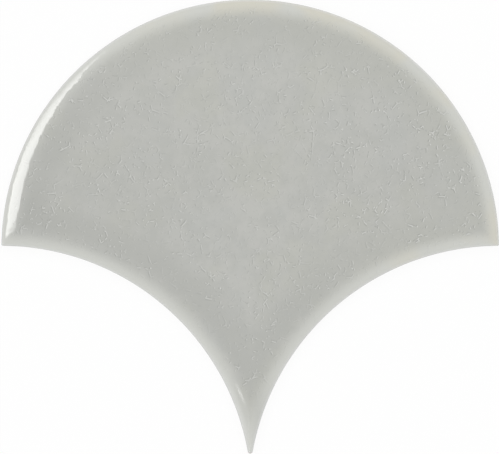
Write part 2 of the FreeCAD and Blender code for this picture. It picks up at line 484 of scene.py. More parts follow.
@dataclass(frozen=True)
class ScalePlan:
    """The tile from above: a disc, scooped by the two tiles of the next row.

    Attributes:
        crown: Place of the top of the disc along Y.
        radius: Radius of the disc.
        nest_clearance: Joint left between the disc of one tile and the scoop of the next.
        row_tuck: How much closer the rows lie than the disc's radius.
        tip_width: Width of the blunt tip.
        horn_round: Radius that takes the sharpness off the two horns.
        corner_points: How many points go round a rounded corner.
    """

    crown: float
    radius: float = 85.0
    nest_clearance: float = 0.5
    row_tuck: float = 0.4
    tip_width: float = 1.5
    horn_round: float = 0.6
    corner_points: int = 7

    @property
    def centre(self) -> np.ndarray:
        """Return the disc's centre."""
        return np.array([0.0, self.crown - self.radius])

    @property
    def scoop_centre(self) -> np.ndarray:
        """Return the centre of the scoop on the right."""
        return self.centre + np.array([self.radius, self.row_tuck - self.radius])

    @property
    def scoop_radius(self) -> float:
        """Return the radius of the scoops."""
        return self.radius + self.nest_clearance

    @property
    def tip_round(self) -> float:
        """Return the radius of the arc that rounds the tip off between the two scoops."""
        climb = math.sqrt(self.scoop_radius**2 - (self.radius - self.tip_width / 2) ** 2)
        return (self.radius**2 + climb**2 - self.scoop_radius**2) / (2 * (self.scoop_radius - climb))

    def mitre(self, depth: float) -> np.ndarray:
        """Find the mitre of the right horn at a depth.

        Args:
            depth: How far in from the edges.

        Returns:
            The place that lies this far in from the disc's edge and from the scoop's.
        """
        gap = self.scoop_centre - self.centre
        apart = np.hypot(*gap)
        inner, outer = self.radius - depth, self.scoop_radius + depth
        along = (inner**2 - outer**2 + apart**2) / (2 * apart)
        across = math.sqrt(inner**2 - along**2)
        ahead = gap / apart
        return self.centre + ahead * along + np.array([-ahead[1], ahead[0]]) * across

    def ridge(self, depth: float) -> np.ndarray:
        """Find the tip's ridge at a depth.

        Args:
            depth: How far in from the edges.

        Returns:
            The place on the axis that lies this far in from both scoops.
        """
        climb = math.sqrt((self.scoop_radius + depth) ** 2 - self.radius**2)
        return np.array([0.0, self.scoop_centre[1] + climb])

    def depths(self, points: np.ndarray) -> np.ndarray:
        """Measure how far in places lie.

        Args:
            points: Places in plan, one row each.

        Returns:
            The distance from the disc's edge and from both scoops, the nearest first.
        """
        disc = self.radius - np.hypot(*(points - self.centre).T)
        right = np.hypot(*(points - self.scoop_centre).T) - self.scoop_radius
        left = np.hypot(*(points * [-1.0, 1.0] - self.scoop_centre).T) - self.scoop_radius
        return np.sort(np.stack([disc, right, left], axis=-1), axis=-1)

    def rim(self, spacing: float, levels: Sequence[float]) -> Rim:
        """Lay out the lines across the edge.

        Args:
            spacing: Distance from line to line along the outline.
            levels: Depths at which a loop is taken later, so that lines meet there on each mitre.

        Returns:
            The lines, from the crown over the right horn and the tip back to the crown.
        """

        def corner_depths(start: float) -> np.ndarray:
            """Space out the lines beside a corner.

            Args:
                start: Depth at which the rounded corner ends.

            Returns:
                Depths from there to the last level, by way of the other levels.
            """
            stops = [start, *levels]
            spans = []
            for near, far in zip(stops, stops[1:]):
                spans.append(np.linspace(near, far, math.ceil((far - near) / (spacing / 2)) + 1))
            return np.unique(np.round(np.concatenate(spans), 9))

        def run(start: float, end: float, radius: float) -> np.ndarray:
            """Return even angles between two ends, which are left out."""
            return np.linspace(start, end, math.ceil(abs(end - start) * radius / spacing) + 1)[1:-1]

        horn_depths = corner_depths(self.horn_round)
        tip_depths = corner_depths(self.tip_round)
        mitre = np.array([self.mitre(depth) for depth in horn_depths])
        ridge = np.array([self.ridge(depth) for depth in tip_depths])
        disc = angles_of(mitre - self.centre)
        horn = angles_of(mitre - self.scoop_centre)
        tip = angles_of(ridge - self.scoop_centre)
        free_disc = np.concatenate([[math.pi / 2], run(math.pi / 2, disc[-1], self.radius)])
        free_scoop = run(horn[-1], tip[-1], self.scoop_radius)
        horn_turn = np.linspace(disc[0], horn[0] - math.pi, self.corner_points)[1:-1]
        tip_turn = np.linspace(tip[0] - math.pi, -math.pi / 2, self.corner_points)[1:]
        half = Rim.joined([
            Rim.arc(self.centre, self.radius, free_disc, math.inf),
            Rim.arc(self.centre, self.radius, disc[::-1], horn_depths[::-1]),
            Rim.arc(mitre[0], self.horn_round, horn_turn, self.horn_round, rounded=True),
            Rim.arc(self.scoop_centre, self.scoop_radius, horn, horn_depths, hollow=True),
            Rim.arc(self.scoop_centre, self.scoop_radius, free_scoop, math.inf, hollow=True),
            Rim.arc(self.scoop_centre, self.scoop_radius, tip[::-1], tip_depths[::-1], hollow=True),
            Rim.arc(ridge[0], self.tip_round, tip_turn, self.tip_round, rounded=True),
        ])
        return Rim.joined([half, half.mirrored()])


@dataclass(frozen=True)
class EdgeSection:
    """The tile's edge in section, by depth in from the outline.

    Attributes:
        thickness: Height of the flat face.
        roll_radius: Radius of the roll that leads up to the face.
        roll_drop: How far below the face the roll starts.
        lip_width: Depth at which the roll starts on the bare solid.
        lip_radius: Radius of the turn from the wall into the roll.
        mitre_soft: Width over which the glaze fills the mitres and the ridge.
        mitre_from: Depth at which that filling starts.
        face_inset: Depth at which the face's own net of points takes over.
        bare_inset: How far the bare wall stands back behind the glaze.
        foot_radius: Radius of the foot.
        foot_inset: Depth at which the back's own net of points takes over.
        bead: Height of the rounded bottom edge of the glaze.
        glaze_foot: Mean height at which the glaze ends on the wall.
        roll_rings: How many rings of points the roll has.
        turn_rings: How many the lip has, with its ends.
        foot_rings: How many the foot has.
        wall_rows: How many rows of points the glazed wall has, and its bead, with their ends.
        bare_rows: Where the rows of the bare wall lie, as shares of its height from the glaze down.
    """

    thickness: float
    roll_radius: float = 14.0
    roll_drop: float = 2.25
    lip_width: float = 0.7
    lip_radius: float = 1.3
    mitre_soft: float = 1.4
    mitre_from: float = 0.15
    face_inset: float = 9.2
    bare_inset: float = 0.22
    foot_radius: float = 0.6
    foot_inset: float = 3.0
    bead: float = 0.45
    glaze_foot: float = 1.75
    roll_rings: int = 15
    turn_rings: int = 8
    foot_rings: int = 7
    wall_rows: int = 6
    bare_rows: Tuple[float, ...] = (0.2, 0.6)

    @property
    def roll_width(self) -> float:
        """Return the depth at which the roll ends in the flat face."""
        return self.lip_width + math.sqrt(self.roll_radius**2 - (self.roll_radius - self.roll_drop) ** 2)

    @property
    def lip_lean(self) -> float:
        """Return how far the surface leans where the lip turns into the roll."""
        return math.asin((self.roll_width - self.lip_radius) / (self.roll_radius - self.lip_radius))

    @property
    def lip_end(self) -> float:
        """Return the depth at which the lip turns into the roll."""
        return self.roll_width - self.roll_radius * math.sin(self.lip_lean)

    @property
    def lip_level(self) -> float:
        """Return the height at which the wall turns into the lip."""
        climb = (self.roll_radius - self.lip_radius) * math.cos(self.lip_lean)
        return self.thickness - self.roll_radius + climb

    def top(self, depth: np.ndarray) -> np.ndarray:
        """Give the height of the glazed side.

        Args:
            depth: Depths in from the outline.

        Returns:
            The height at each depth.
        """
        depth = np.clip(depth, 0.0, self.roll_width)
        lip_square = self.lip_radius**2 - np.minimum(depth - self.lip_radius, 0.0) ** 2
        lip = self.lip_level + np.sqrt(np.maximum(lip_square, 0.0))
        climb = np.sqrt(self.roll_radius**2 - (self.roll_width - depth) ** 2)
        return np.where(depth < self.lip_end, lip, self.thickness - self.roll_radius + climb)

    def under(self, depth: np.ndarray) -> np.ndarray:
        """Give the height of the rounded foot.

        Args:
            depth: Depths in from the outline.

        Returns:
            The height at each depth, 0 on the back.
        """
        short = np.clip(self.bare_inset + self.foot_radius - depth, 0.0, self.foot_radius)
        return self.foot_radius - np.sqrt(self.foot_radius**2 - short**2)

    def mitred(self, nearest: np.ndarray, second: np.ndarray) -> np.ndarray:
        """Fill the sharp lines where two edges meet.

        Args:
            nearest: Depth in from the nearest edge.
            second: Depth in from the next edge.

        Returns:
            The depth that the glaze takes there.
        """
        soft = self.mitre_soft * np.clip((nearest - self.mitre_from) / self.mitre_soft, TINY, 1.0)
        overlap = np.maximum(soft - (second - nearest), 0.0)
        return nearest - overlap**2 / (4 * soft)

    def top_depths(self) -> np.ndarray:
        """Space out the rings of points of the glazed side.

        Returns:
            Their depths, from the face out to the wall.
        """
        leans = np.linspace(0.0, self.lip_lean, self.roll_rings)
        turns = np.linspace(math.pi / 2 - self.lip_lean, 0.0, self.turn_rings)
        roll = self.roll_width - self.roll_radius * np.sin(leans)
        lip = self.lip_radius * (1 - np.cos(turns))
        return np.concatenate([[self.face_inset], roll, lip[1:]])

    def under_depths(self) -> np.ndarray:
        """Space out the rings of points of the foot.

        Returns:
            Their depths, from the bare wall in to the back.
        """
        turns = np.linspace(0.0, math.pi / 2, self.foot_rings)
        foot = self.bare_inset + self.foot_radius * (1 - np.cos(turns))
        return np.concatenate([foot, [foot[-1] + self.foot_radius, self.foot_inset]])

    def wall(self, glaze_foot: np.ndarray) -> Tuple[np.ndarray, np.ndarray, List[Finish]]:
        """Lay out the rows of points down the wall.

        Args:
            glaze_foot: Height at which the glaze ends, for each line of the rim.

        Returns:
            Each row's inset and height for each line, and each row's finish.
        """
        bead_top = glaze_foot + self.bead
        shares = np.linspace(0.0, 1.0, self.wall_rows)[1:]
        turns = np.linspace(0.0, math.pi / 2, self.wall_rows)[1:]
        glazed = [(0.0, self.lip_level + (bead_top - self.lip_level) * share) for share in shares]
        rounded = [(self.bare_inset * (1 - math.cos(t)), bead_top - self.bead * math.sin(t)) for t in turns]
        drop = self.foot_radius - glaze_foot
        bare = [(self.bare_inset, glaze_foot + drop * share) for share in self.bare_rows]
        rows = glazed + rounded + bare
        insets = np.array([np.full(len(glaze_foot), inset) for inset, height in rows])
        heights = np.array([height for inset, height in rows])
        finishes = [Finish.GLAZE] * len(glazed + rounded) + [Finish.BARE] * len(bare)
        return insets, heights, finishes


@dataclass(frozen=True)
class BackKey:
    """The shallow key on the back: square cells between ribs, inside a plain border.

    Attributes:
        plan: The tile from above.
        pitch: Distance from cell to cell.
        rib_width: Width of a rib's crest.
        border: Width of the plain border.
        depth: Depth of the cells.
        draft: Width of a cell's sloping side.
        soften: Width over which the rims and the floors of the cells are rounded.
        spokes: How many points go round a cell.
        first_spoke: Angle of the first of them, so that none runs along an axis.
        trials: How many places are tried across a cell in the search for its hub.
    """

    plan: ScalePlan
    pitch: float = 18.0
    rib_width: float = 4.0
    border: float = 8.5
    depth: float = 0.8
    draft: float = 0.46
    soften: float = 0.3
    spokes: int = 56
    first_spoke: float = 0.01
    trials: int = 57

    @property
    def half(self) -> float:
        """Return half the width of a cell."""
        return (self.pitch - self.rib_width) / 2

    def steps(self) -> List[Tuple[float, float]]:
        """Lay out the rings of points of a cell, with a rounding of a few steps at its rim and at its floor.

        Returns:
            The inset and the height of each ring, from outside the rim to the floor.
        """
        turn = self.soften / 2
        slope = self.depth / self.draft
        rim = [(-1.5 * self.soften, 0.0), (-self.soften, 0.0), (-turn / 3, turn / 3)]
        side = [(turn, slope * turn), (self.draft - turn / 3, slope * (self.draft - turn))]
        floor = [(self.draft + turn / 2, self.depth - turn / 3), (self.draft + 1.5 * turn, self.depth)]
        return rim + side + floor + [(self.draft + 2 * self.soften, self.depth)]

    def inset(self, cell: np.ndarray, points: np.ndarray) -> np.ndarray:
        """Measure how far in from a cell's rim places lie.

        Args:
            cell: Centre of the cell's square.
            points: Places in plan, one row each.

        Returns:
            The distance of each place from the nearest side.
        """
        square = self.half - np.abs(points - cell).max(axis=1)
        return np.minimum(square, self.plan.depths(points)[:, 0] - self.border)

    def cells(self) -> List[Tuple[np.ndarray, np.ndarray]]:
        """Find the cells that lie inside the border.

        Returns:
            Each cell's centre, and its hub, the place furthest in from its rim.
        """
        steps = np.linspace(-self.half, self.half, self.trials)
        net = np.stack(np.meshgrid(steps, steps), axis=-1).reshape(-1, 2)
        count = math.ceil(self.plan.radius / self.pitch)
        found = []
        for column in range(-count, count + 1):
            for row in range(-count, count + 1):
                cell = self.plan.centre + self.pitch * np.array([column, row])
                insets = self.inset(cell, cell + net)
                if insets.max() > self.draft + self.soften:
                    found.append((cell, cell + net[insets.argmax()]))
        return found

    def ring(self, cell: np.ndarray, hub: np.ndarray, inset: float) -> np.ndarray:
        """Follow a cell's outline.

        Args:
            cell: Centre of the cell's square.
            hub: A place inside the cell from which all of its outline is seen.
            inset: How far in from the rim the outline lies.

        Returns:
            Places on the outline, one for each spoke from the hub.
        """
        spokes = directions(np.arange(self.spokes) * 2 * math.pi / self.spokes + self.first_spoke)
        sides = (np.sign(spokes) * (self.half - inset) - (hub - cell)) / spokes
        reach = sides.min(axis=1)
        field = self.plan.radius - self.border - inset
        out = hub - self.plan.centre
        along = spokes @ out
        reach = np.minimum(reach, np.sqrt(along**2 + field**2 - out @ out) - along)
        hollow = self.plan.scoop_radius + self.border + inset
        for side in (-1.0, 1.0):
            out = hub - self.plan.scoop_centre * [side, 1.0]
            along = spokes @ out
            meets = along**2 + hollow**2 - out @ out
            near = -along - np.sqrt(np.maximum(meets, 0.0))
            reach = np.where((meets > 0) & (along < 0), np.minimum(reach, near), reach)
        return hub + spokes * reach[:, None]


class Skin:
    """Gathers nets of points and faces that together close into one skin."""

    def __init__(self) -> None:
        """Start with no points."""
        self.points: List[np.ndarray] = []
        self.faces: List[Sequence[int]] = []
        self.finishes: List[Finish] = []
        self.count = 0

    def patch(self, points: np.ndarray, faces: Sequence[Sequence[int]], finishes: Sequence[Finish]) -> None:
        """Add a net of points.

        Args:
            points: The points, one row each.
            faces: The numbers of the points of each face.
            finishes: Each face's finish.
        """
        self.points.append(points)
        self.faces += [[self.count + i for i in face] for face in faces]
        self.finishes += finishes
        self.count += len(points)

    def rings(self, points: np.ndarray, finishes: Sequence[Finish]) -> None:
        """Add closed rings of points, with a band of faces between each two.

        Args:
            points: The points, by ring and by place in it.
            finishes: The finish of each band.
        """
        rows, around = points.shape[:2]
        faces = []
        for row in range(rows - 1):
            here, there = row * around, (row + 1) * around
            pairs = [(i, (i + 1) % around) for i in range(around)]
            faces += [(here + i, here + j, there + j, there + i) for i, j in pairs]
        self.patch(points.reshape(-1, 3), faces, np.repeat(finishes, around).tolist())

    def mesh(self, name: str) -> bpy.types.Mesh:
        """Weld the nets into one closed mesh, in metres.

        Args:
            name: The mesh's name.

        Returns:
            The mesh, smooth, with its normals outward.
        """
        mesh = bpy.data.meshes.new(name)
        mesh.from_pydata((np.concatenate(self.points) / METRE).tolist(), [], self.faces)
        mesh.polygons.foreach_set("material_index", [int(finish) for finish in self.finishes])
        shape = bmesh.new()
        shape.from_mesh(mesh)
        bmesh.ops.remove_doubles(shape, verts=shape.verts, dist=WELD / METRE)
        bmesh.ops.recalc_face_normals(shape, faces=shape.faces)
        for face in shape.faces:
            face.smooth = True
        open_edges = sum(not edge.is_manifold for edge in shape.edges)
        LOG.info("%s: %d faces, %d open edges", name, len(shape.faces), open_edges)
        shape.to_mesh(mesh)
        shape.free()
        return mesh


@dataclass(frozen=True)
class Patches:
    """Random patches in a glaze or a clay.

    Attributes:
        size: Size of the largest patches.
        shown: How much of a patch comes up, by the value of the noise.
        detail: How many finer layers they have.
        layout: A move that picks another layout of them.
    """

    size: float
    shown: Ramp
    detail: float = 2.0
    layout: Step = (0.0, 0.0, 0.0)

    def amount(self, bench: Bench, place: Signal) -> Signal:
        """Return how much of a patch a place has."""
        return bench.cloud(bench.moved(place, self.layout), self.size, self.detail).along(self.shown)


@dataclass(frozen=True)
class Zone:
    """A stretch of the surface with soft bounds.

    Attributes:
        share: How much it counts where it counts in full.
        bounds: How that changes with the measures of a place.
    """

    share: float
    bounds: Tuple[Bound, ...]

    def amount(self, measures: Measures) -> Signal:
        """Work out how much the zone counts at a place.

        Args:
            measures: The measures of the place.

        Returns:
            The product of the share and of what each bound gives.
        """
        amounts = [measures[measure].along(ramp) for measure, ramp in self.bounds]
        return math.prod(amounts, start=self.share)


INSIDE_LIP: Bound = (Measure.DEPTH, Ramp(1.5, 6.0, 0.35, 1.0))
ABOVE_FOOT: Bound = (Measure.HEIGHT, Ramp(1.8, 4.0))
NEAR_TIP: Bound = (Measure.Y, Ramp.down(-66.0, -48.0))


@dataclass(frozen=True)
class CrackNet:
    """A net of hair cracks, which shows in short stretches only.

    Attributes:
        island: Size of the islands between the cracks.
        width: Width of a crack on each side of its middle.
        stretches: The patches in which the cracks show.
        core: Share of the width that shows in full, before a crack fades out.
        strength: How strongly the cracks show.
    """

    island: float
    width: float
    stretches: Patches
    core: float = 0.25
    strength: float = 0.9

    def lines(self, bench: Bench, place: Signal, breadth: float) -> Signal:
        """Draw the cracks.

        Args:
            bench: The material's bench.
            place: The place in the flat pattern.
            breadth: How many times their own width they are drawn.

        Returns:
            How strongly a crack shows there.
        """
        aside = bench.cells(place, self.island, "DISTANCE_TO_EDGE", "Distance") * self.island
        width = self.width * breadth
        stretch = self.stretches.amount(bench, place)
        return aside.along(Ramp.down(width * self.core, width)) * stretch * self.strength


@dataclass(frozen=True)
class Pinholes:
    """Tiny burst bubbles in the glaze.

    Attributes:
        apart: Mean distance from one to the next possible one.
        radius: Radius of a pinhole.
        core: Share of the radius that shows in full.
        rare: How strongly each one comes up, by its random number.
    """

    apart: float = 3.4
    radius: float = 0.3
    core: float = 1 / 3
    rare: Ramp = Ramp(0.8, 0.94)

    def spots(self, bench: Bench, place: Signal) -> Signal:
        """Draw the pinholes.

        Args:
            bench: The material's bench.
            place: The place in the flat pattern.

        Returns:
            How strongly a pinhole shows there.
        """
        away = bench.cells(place, self.apart, "F1", "Distance") * self.apart
        chance = bench.parts(bench.cells(place, self.apart, "F1", "Color"))[0]
        return away.along(Ramp.down(self.radius * self.core, self.radius)) * chance.along(self.rare)


@dataclass(frozen=True)
class Crazing:
    """The crackle of the glaze: cracks and pinholes that catch the light, with a shade beside each.

    Attributes:
        long_cracks: The cracks that part the large islands.
        short_cracks: The cracks inside these, which end on the long ones.
        pinholes: The tiny holes.
        nets_apart: How far apart the islands take the nets of their short cracks.
        gathers: The patches in which marks gather.
        bend: Size of the bends in the cracks.
        bend_reach: How far a crack bends aside.
        squeeze: Squeeze of the pattern along each axis, which draws the cracks out along Y.
        shade_breadth: How many times wider than its mark a shade is.
        crack_shift: How far the shade of a crack is moved to the side.
        hole_shift: How far the shade of a pinhole is moved further, for each mark's width that it is wider.
        marked: Where the marks show, weaker on the roll and stronger at the two sides.
        shaded: Where their shades show, as a share of that.
    """

    long_cracks: CrackNet = CrackNet(4.4, 0.29, Patches(1.6, Ramp(0.545, 0.625), 1.0))
    short_cracks: CrackNet = CrackNet(2.3, 0.28, Patches(1.4, Ramp(0.565, 0.645), 1.0))
    pinholes: Pinholes = Pinholes()
    nets_apart: float = 60.0
    gathers: Patches = Patches(9.0, Ramp(0.38, 0.62, 0.38, 1.13), 1.0)
    bend: float = 6.0
    bend_reach: float = 1.2
    squeeze: Step = (1.0, 0.8, 1.0)
    shade_breadth: float = 2.1
    crack_shift: float = 0.12
    hole_shift: float = 0.25
    marked: Zone = Zone(1.0, (
        INSIDE_LIP,
        (Measure.X, Ramp(-40.0, -12.0, 1.03, 0.91)),
        (Measure.X, Ramp(12.0, 50.0, 1.0, 1.36)),
    ))
    shaded: Zone = Zone(1.0, (INSIDE_LIP,))

    def bent(self, bench: Bench, place: Signal) -> Signal:
        """Bend and draw out the pattern.

        Args:
            bench: The material's bench.
            place: The place in the flat pattern.

        Returns:
            The place in the bent pattern.
        """
        wander = bench.moved(bench.cloud(place, self.bend, output="Color"), (-0.5, -0.5, -0.5))
        return bench.stretched(bench.moved(place, bench.scaled(wander, self.bend_reach)), self.squeeze)

    def drawn(self, bench: Bench, place: Signal, breadth: float) -> Signal:
        """Draw the cracks and the pinholes.

        Args:
            bench: The material's bench.
            place: The place in the bent pattern.
            breadth: How many times their own width the cracks are drawn.

        Returns:
            How strongly a mark shows there.
        """
        island = bench.cells(place, self.long_cracks.island, "F1", "Color")
        inside = bench.moved(place, bench.scaled(island, self.nets_apart))
        long_lines = self.long_cracks.lines(bench, place, breadth)
        short_lines = self.short_cracks.lines(bench, inside, breadth)
        spots = self.pinholes.spots(bench, bench.moved(place, (self.hole_shift * (breadth - 1), 0.0, 0.0)))
        return long_lines.most(short_lines).most(spots) * self.gathers.amount(bench, place)

    def marks(self, bench: Bench, place: Signal, measures: Measures) -> Tuple[Signal, Signal]:
        """Draw the marks and their shades.

        Args:
            bench: The material's bench.
            place: The place in the flat pattern.
            measures: The measures of the place.

        Returns:
            How strongly a mark shows there, and how strongly a shade.
        """
        bent = self.bent(bench, place)
        beside = bench.moved(bent, (self.crack_shift, 0.0, 0.0))
        marked = self.marked.amount(measures)
        shaded = marked * self.shaded.amount(measures)
        mark = self.drawn(bench, bent, 1.0) * marked
        shade = self.drawn(bench, beside, self.shade_breadth) * shaded
        return mark, shade


@dataclass(frozen=True)
class GlazeZones:
    """Where the glaze lies thicker and thinner, and where light and shade are painted on it.

    Attributes:
        olive_side: Inside the roll at the upper right, where the glaze is faintly olive.
        top: Painted light on the upper half, which is a little paler.
        pool: The band inside the roll, where the glaze lies thick, painted paler towards the lit upper right.
        foot: The bottom of the wall, where it has run down.
        sides: Painted shade on the left and right sides of the face.
        edge: The roll, where the glaze runs thinner.
        warm_edge: The part of the roll with warm patches.
        shaded_right_flank: Painted shade on the right side of the tip.
        shaded_left_flank: Painted shade on the left side of the tip.
        left_horn: Painted shade on the corner of the face at the left horn.
        lit_left_lip: Painted light on the lip of the left scoop, which faces the light from the left.
        lip: The lip, where it breaks.
    """

    olive_side: Zone = Zone(0.38, (
        (Measure.CORNER, Ramp(-20.0, 50.0)),
        (Measure.DEPTH, Ramp.down(8.0, 20.0)),
    ))
    top: Zone = Zone(0.06, ((Measure.Y, Ramp(10.0, 60.0)),))
    pool: Zone = Zone(1.0, (
        (Measure.DEPTH, Ramp(4.0, 8.5)),
        (Measure.DEPTH, Ramp.down(10.0, 21.0)),
        # Painted light: the pool is weaker towards the upper right, where more light falls.
        (Measure.PALING, Ramp(-30.0, 40.0, 0.8, 0.35)),
    ))
    foot: Zone = Zone(1.0, ((Measure.HEIGHT, Ramp.down(1.8, 4.0)),))
    sides: Zone = Zone(0.3, ((Measure.SIDE, Ramp(10.0, 50.0)), (Measure.Y, Ramp.down(10.0, 60.0))))
    edge: Zone = Zone(1.0, ((Measure.EDGE, Ramp.down(0.5, 6.0)), ABOVE_FOOT))
    warm_edge: Zone = Zone(1.0, ((Measure.CORNER, Ramp(15.0, 65.0)),))
    shaded_right_flank: Zone = Zone(0.35, ((Measure.X, Ramp(0.0, 3.0)), NEAR_TIP))
    shaded_left_flank: Zone = Zone(0.2, (
        (Measure.X, Ramp.down(-2.5, 0.0)),
        (Measure.DEPTH, Ramp(1.0, 2.4)),
        NEAR_TIP,
    ))
    left_horn: Zone = Zone(0.13, (
        (Measure.X, Ramp.down(-78.0, -58.0)),
        (Measure.Y, Ramp.down(5.0, 18.0)),
        (Measure.DEPTH, Ramp(4.5, 8.0)),
    ))
    lit_left_lip: Zone = Zone(0.25, (
        (Measure.X, Ramp.down(-2.0, 2.0)),
        (Measure.Y, Ramp.down(-55.0, -15.0)),
        (Measure.DEPTH, Ramp.down(0.5, 2.2)),
        ABOVE_FOOT,
    ))
    lip: Zone = Zone(0.5, ((Measure.DEPTH, Ramp.down(0.2, 1.1)), ABOVE_FOOT))


@dataclass(frozen=True)
class CrackleGlaze:
    """A clear gloss glaze, grey green, crazed all over, pale where it runs thinner over the roll.

    Attributes:
        plan: The tile from above.
        thickness: Height of the flat face.
        shallow: Colour on the flat face, where the glaze lies thinner.
        deep: Colour there, where it lies thicker.
        olive: Colour of its faint yellowish patches.
        cool: Colour of its faint bluish patches.
        pooled_and_shade: Colour of the glaze's pools in the roll and at the wall's foot, and of painted
            shade.
        thin_and_lit: Colour where the glaze runs thinner, on the roll, and of the painted light on the upper
            half.
        warm: Colour of the yellowish patches there.
        broken_and_lit: Colour where it breaks over the lip, and of the painted light on the lip of the left
            scoop.
        crack: Colour of a crack that catches the light.
        crack_shade: Colour of the shade beside a crack, and of the painted shade at the left horn.
        crack_share: How much of a crack's colour shows.
        shade_share: How much of a shade's colour shows.
        mottle: Sizes and shares of the flecks of the mottle.
        mottle_layout: A move that picks the layout of the flecks.
        mottle_shown: How shallow the glaze lies, by the value of the mottle.
        olive_patches: The yellowish patches on the face.
        cool_patches: The bluish patches, which lie between these.
        warm_patches: The yellowish patches on the roll.
        light_lean: How much the painted light on the pool comes from the right, against from the top.
        side_lean: How much closer to the middle the left side starts than the right one.
        edge_gain: How much wider the edge of thinner glaze is, from the lower left to the upper right.
        zones: Where it lies thicker and thinner, and where light and shade are painted on it.
        crazing: Its cracks and pinholes.
        uneven_size: Size of the fine unevenness of its surface.
        uneven: Height of that unevenness, which calms towards the tip.
        crack_drop: How deep a crack lies.
        roughness: Its roughness at the least.
        rough_size: Size of the patches in which it is rougher.
        rough_patches: How much rougher it is there.
        rough_cracks: How much rougher it is on a crack.
        ior: Its refractive index.
    """

    plan: ScalePlan
    thickness: float
    shallow: Colour = colour(189.5, 190, 185)
    deep: Colour = colour(183.5, 184.5, 179.5)
    olive: Colour = colour(186, 187, 176)
    cool: Colour = colour(185, 187, 184)
    pooled_and_shade: Colour = colour(178, 179, 174)
    thin_and_lit: Colour = colour(211, 212, 206)
    warm: Colour = colour(214, 212, 199.5)
    broken_and_lit: Colour = colour(226, 227, 225)
    crack: Colour = colour(234, 235, 231)
    crack_shade: Colour = colour(140, 141, 136)
    crack_share: float = 0.452
    shade_share: float = 0.535
    mottle: Pairs = ((7.0, 0.55), (2.6, 0.45))
    mottle_layout: Step = (-50.0, 20.0, 0.0)
    mottle_shown: Ramp = Ramp(0.36, 0.64)
    olive_patches: Patches = Patches(17.0, Ramp(0.52, 0.66, 0.0, 0.3))
    cool_patches: Patches = Patches(17.0, Ramp.down(0.34, 0.48, 0.3))
    warm_patches: Patches = Patches(22.0, Ramp(0.38, 0.58), layout=(90.0, 40.0, 0.0))
    light_lean: float = 0.7
    side_lean: float = 0.35
    edge_gain: Ramp = Ramp(-20.0, 50.0, 0.0, 0.6)
    zones: GlazeZones = GlazeZones()
    crazing: Crazing = Crazing()
    uneven_size: float = 2.4
    uneven: Zone = Zone(0.04, ((Measure.Y, Ramp(-52.0, -25.0, 0.1, 1.0)),))
    crack_drop: float = 0.006
    roughness: float = 0.05
    rough_size: float = 6.0
    rough_patches: float = 0.03
    rough_cracks: float = 0.12
    ior: float = 1.54

    def depth(self, x: Signal, y: Signal) -> Signal:
        """Measure how far in from the tile's outline a place lies.

        Args:
            x: The place along X.
            y: The place along Y.

        Returns:
            The depth.
        """
        up = y - self.plan.centre[1]
        disc = self.plan.radius - (x * x + up * up) ** 0.5
        aside = abs(x) - self.plan.scoop_centre[0]
        above = y - self.plan.scoop_centre[1]
        return disc.least((aside * aside + above * above) ** 0.5 - self.plan.scoop_radius)

    def measures(self, bench: Bench, place: Signal) -> Measures:
        """Measure a place on the glaze.

        Args:
            bench: The material's bench.
            place: The place, in millimetres.

        Returns:
            Each of its measures.
        """
        x, y, height = bench.parts(place)
        depth = self.depth(x, y)
        corner = x + y
        return {
            Measure.X: x,
            Measure.Y: y,
            Measure.HEIGHT: height,
            Measure.DEPTH: depth,
            Measure.CORNER: corner,
            Measure.PALING: x * self.light_lean + y,
            Measure.SIDE: abs(x) - x * self.side_lean,
            Measure.EDGE: depth - corner.along(self.edge_gain),
        }

    def spread(self, bench: Bench, place: Signal) -> Signal:
        """Spread the roll and the wall out flat, so that a flat pattern runs on down them.

        Args:
            bench: The material's bench.
            place: The place, in millimetres.

        Returns:
            The place in the flat pattern.
        """
        below = self.thickness - bench.parts(place)[2]
        return bench.scaled(place, below * (1 / self.plan.radius) + 1)

    def face_tint(self, bench: Bench, place: Signal, measures: Measures) -> Signal:
        """Colour the glaze as on the flat face, with its mottle and its faint patches.

        Args:
            bench: The material's bench.
            place: The place, in millimetres.
            measures: The measures of the place.

        Returns:
            The colour of the face.
        """
        away = bench.moved(place, self.mottle_layout)
        mottle = sum(bench.cloud(away, size) * share for size, share in self.mottle)
        tint = bench.mix(self.deep, self.shallow, mottle.along(self.mottle_shown))
        olive = self.olive_patches.amount(bench, place).most(self.zones.olive_side.amount(measures))
        tint = bench.mix(tint, self.olive, olive)
        return bench.mix(tint, self.cool, self.cool_patches.amount(bench, place))

    def tint(self, bench: Bench, place: Signal, measures: Measures) -> Signal:
        """Colour the glaze by its thickness, with painted light and shade on the face, the tip and the lip.

        Args:
            bench: The material's bench.
            place: The place, in millimetres.
            measures: The measures of the place.

        Returns:
            The colour without the cracks.
        """
        zones = self.zones
        warmth = self.warm_patches.amount(bench, place) * zones.warm_edge.amount(measures)
        layers = (
            # Painted light: the upper half is a little paler.
            (self.thin_and_lit, (zones.top,)),
            # Thick glaze inside the roll and at the foot, and painted shade on the sides of the face.
            (self.pooled_and_shade, (zones.pool, zones.foot, zones.sides)),
            (bench.mix(self.thin_and_lit, self.warm, warmth), (zones.edge,)),
            # Painted shade on both flanks of the tip.
            (self.pooled_and_shade, (zones.shaded_right_flank, zones.shaded_left_flank)),
            # Painted shade at the left horn.
            (self.crack_shade, (zones.left_horn,)),
            # Painted light on the lip of the left scoop.
            (self.broken_and_lit, (zones.lit_left_lip,)),
            (self.broken_and_lit, (zones.lip,)),
        )
        tint = self.face_tint(bench, place, measures)
        for shade, places in layers:
            amounts = [zone.amount(measures) for zone in places]
            tint = bench.mix(tint, shade, functools.reduce(Signal.most, amounts))
        return tint

